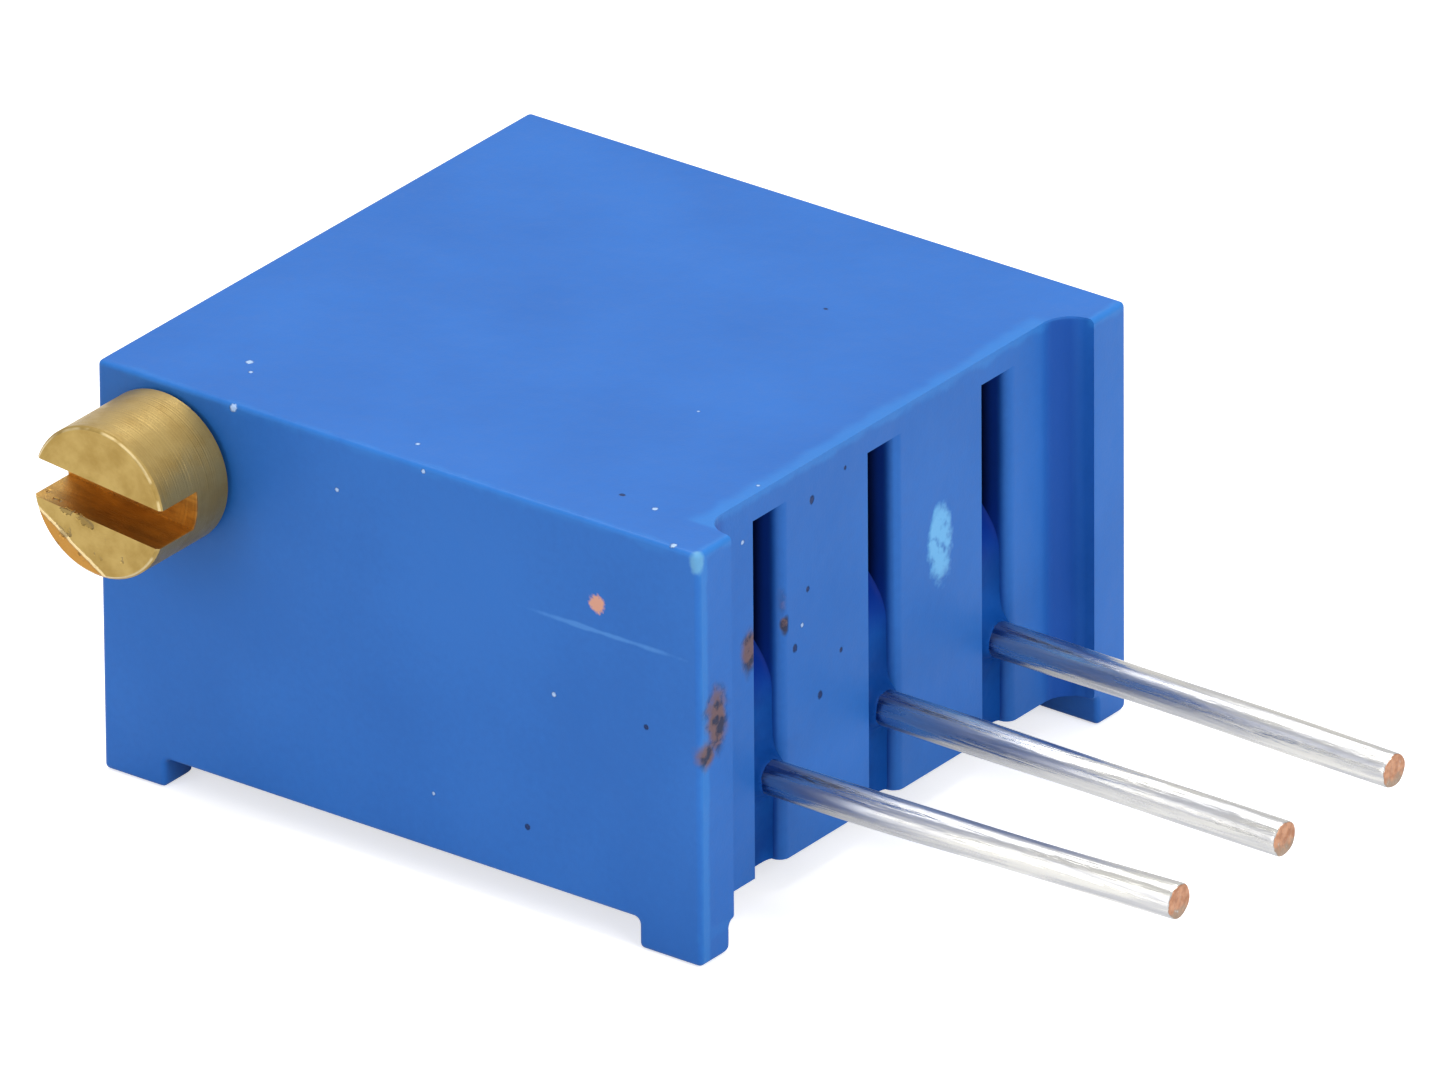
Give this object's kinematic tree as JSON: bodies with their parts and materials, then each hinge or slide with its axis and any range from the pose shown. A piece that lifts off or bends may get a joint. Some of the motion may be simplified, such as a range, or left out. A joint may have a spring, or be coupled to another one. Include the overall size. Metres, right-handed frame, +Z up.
{
  "type": "trimmer potentiometer",
  "caption": "Square blue multi-turn trimmer potentiometer with a slotted brass side-adjust screw, a worm-driven wiper and in-line wire pins.",
  "frame": {"origin": "on the middle pin's axis, in the plane of the standoff faces that meet the board", "axes": "+X along the pins, away from the body; -Y towards the screw head; +Z up from the four feet to the plain top face"},
  "size_m": [0.0161, 0.0111, 0.0061],
  "materials": {
    "housing_blue": "satin moulded thermoplastic",
    "resin_blue": "cured sealing resin",
    "screw_brass": "turned and slotted, with burrs",
    "seal_rubber": "smooth",
    "spring_steel": "stamped",
    "rotor_plastic": "moulded",
    "wiper_alloy": "stamped and plated",
    "alumina": "fired ceramic",
    "track_film": "fired cermet film",
    "conductor_film": "fired conductor film",
    "solder": "reflowed",
    "tinned_wire": "bright tinned, cut ends copper"
  },
  "bodies": {
    "case": {"housing": "housing_blue", "sealing_resin": "resin_blue", "screw_retainer": "spring_steel", "substrate": "alumina", "resistive_track": "track_film", "collector_track": "conductor_film", "end_termination_1": "conductor_film", "end_termination_3": "conductor_film", "solder_joint_1": "solder", "solder_joint_2": "solder", "solder_joint_3": "solder", "pin_1": "tinned_wire", "pin_2": "tinned_wire", "pin_3": "tinned_wire"},
    "screw": {"adjusting_screw": "screw_brass", "screw_o_ring": "seal_rubber"},
    "wheel": {"rotor": "rotor_plastic", "wiper_contact": "wiper_alloy"}
  },
  "joints": [
    {"name": "screw_turn", "type": "hinge", "parent": "case", "child": "screw", "pos_m": [-0.00886, 0, 0.0031], "axis": [0, 1, 0], "range_deg": [-4500, 4500]},
    {"name": "rotor_turn", "type": "hinge", "parent": "case", "child": "wheel", "pos_m": [-0.00514, 0, 0.0031], "axis": [0, 0, 1], "range_deg": [-140.7, 140.7]}
  ],
  "couplings": [
    {"joint": "rotor_turn", "follows": "screw_turn", "ratio": 0.03125}
  ]
}
